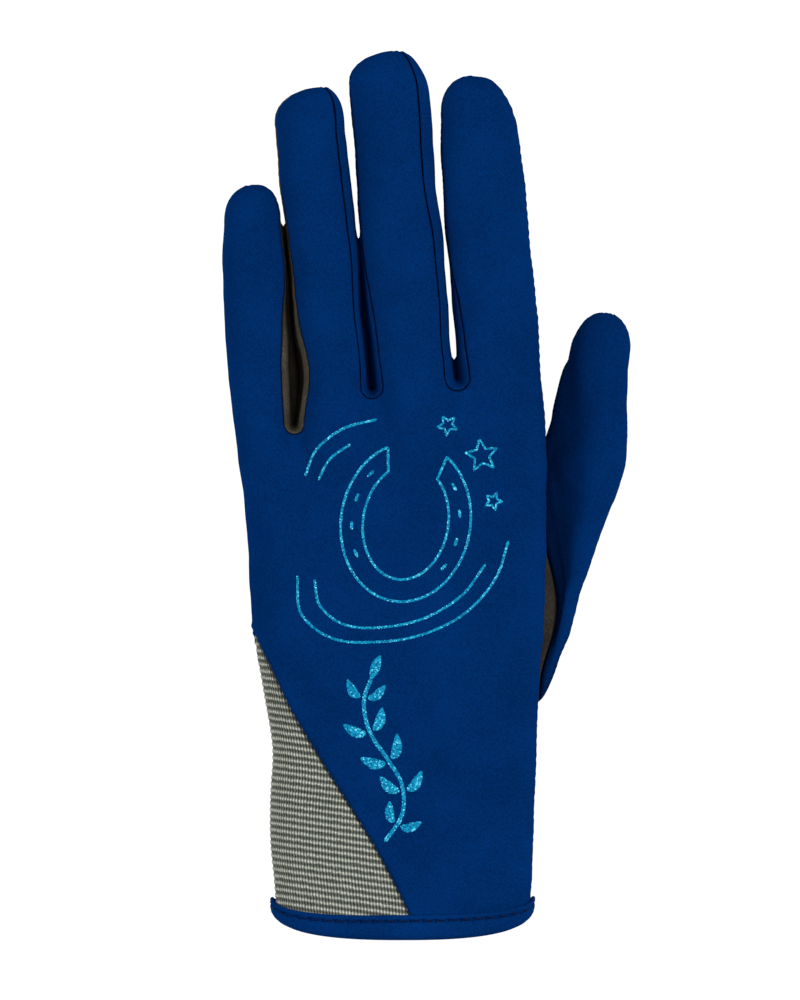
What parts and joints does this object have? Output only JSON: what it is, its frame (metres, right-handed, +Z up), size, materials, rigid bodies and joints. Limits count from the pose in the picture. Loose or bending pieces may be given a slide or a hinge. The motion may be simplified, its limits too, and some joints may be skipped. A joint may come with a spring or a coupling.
{
  "type": "riding glove",
  "caption": "Slip-on riding glove for the left hand: cloth back, suede palm and thumb front, strips between the fingers, ribbed elastic wrist gusset and a bound hem.",
  "frame": {"origin": "middle of the glove's box, on the surface that it lies on", "axes": "+Y from the cuff to the fingertips, +X to the thumb, +Z up out of the back of the hand"},
  "size_m": [0.1072, 0.2338, 0.027],
  "materials": {
    "cloth": "smooth stretch knit, matt, royal blue",
    "suede": "napped synthetic suede, dark grey-brown",
    "elastic": "ribbed woven elastic, grey",
    "binding": "folded stretch binding, slight sheen, blue",
    "print": "turquoise glitter transfer",
    "thread": "dark navy sewing thread"
  },
  "bodies": {
    "root": {"back_panel": "cloth", "palm_panel": "suede", "fourchette_little_ring": "suede", "fourchette_ring_middle": "cloth", "fourchette_middle_index": "cloth", "thumb_back": "cloth", "thumb_palm": "suede", "wrist_elastic": "elastic", "hem_binding": "binding"}
  },
  "joints": []
}
